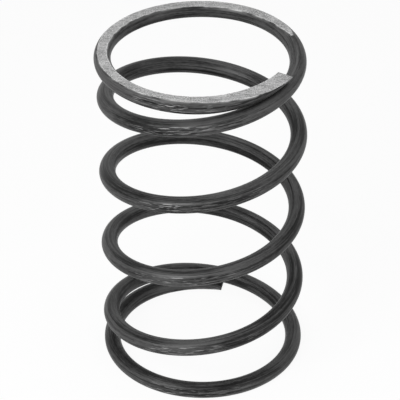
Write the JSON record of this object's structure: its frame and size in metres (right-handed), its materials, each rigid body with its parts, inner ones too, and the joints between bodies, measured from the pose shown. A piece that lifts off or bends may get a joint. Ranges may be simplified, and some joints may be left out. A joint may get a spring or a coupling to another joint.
{
  "type": "compression spring",
  "caption": "Helical compression spring of round steel wire, wound right-hand, with both end turns closed and ground flat to stand square.",
  "frame": {"origin": "on the coil's axis, in the plane of the lower ground seat", "axes": "+Z along the coil's axis, from the lower seat to the upper one; the lower tip points to the back, 77 degrees from +X seen from above"},
  "size_m": [0.025, 0.025, 0.042],
  "materials": {
    "spring_steel": "dark drawn spring wire, lightly oiled, with bright ground end faces"
  },
  "bodies": {
    "root": {"coil_spring": "spring_steel"}
  },
  "joints": []
}
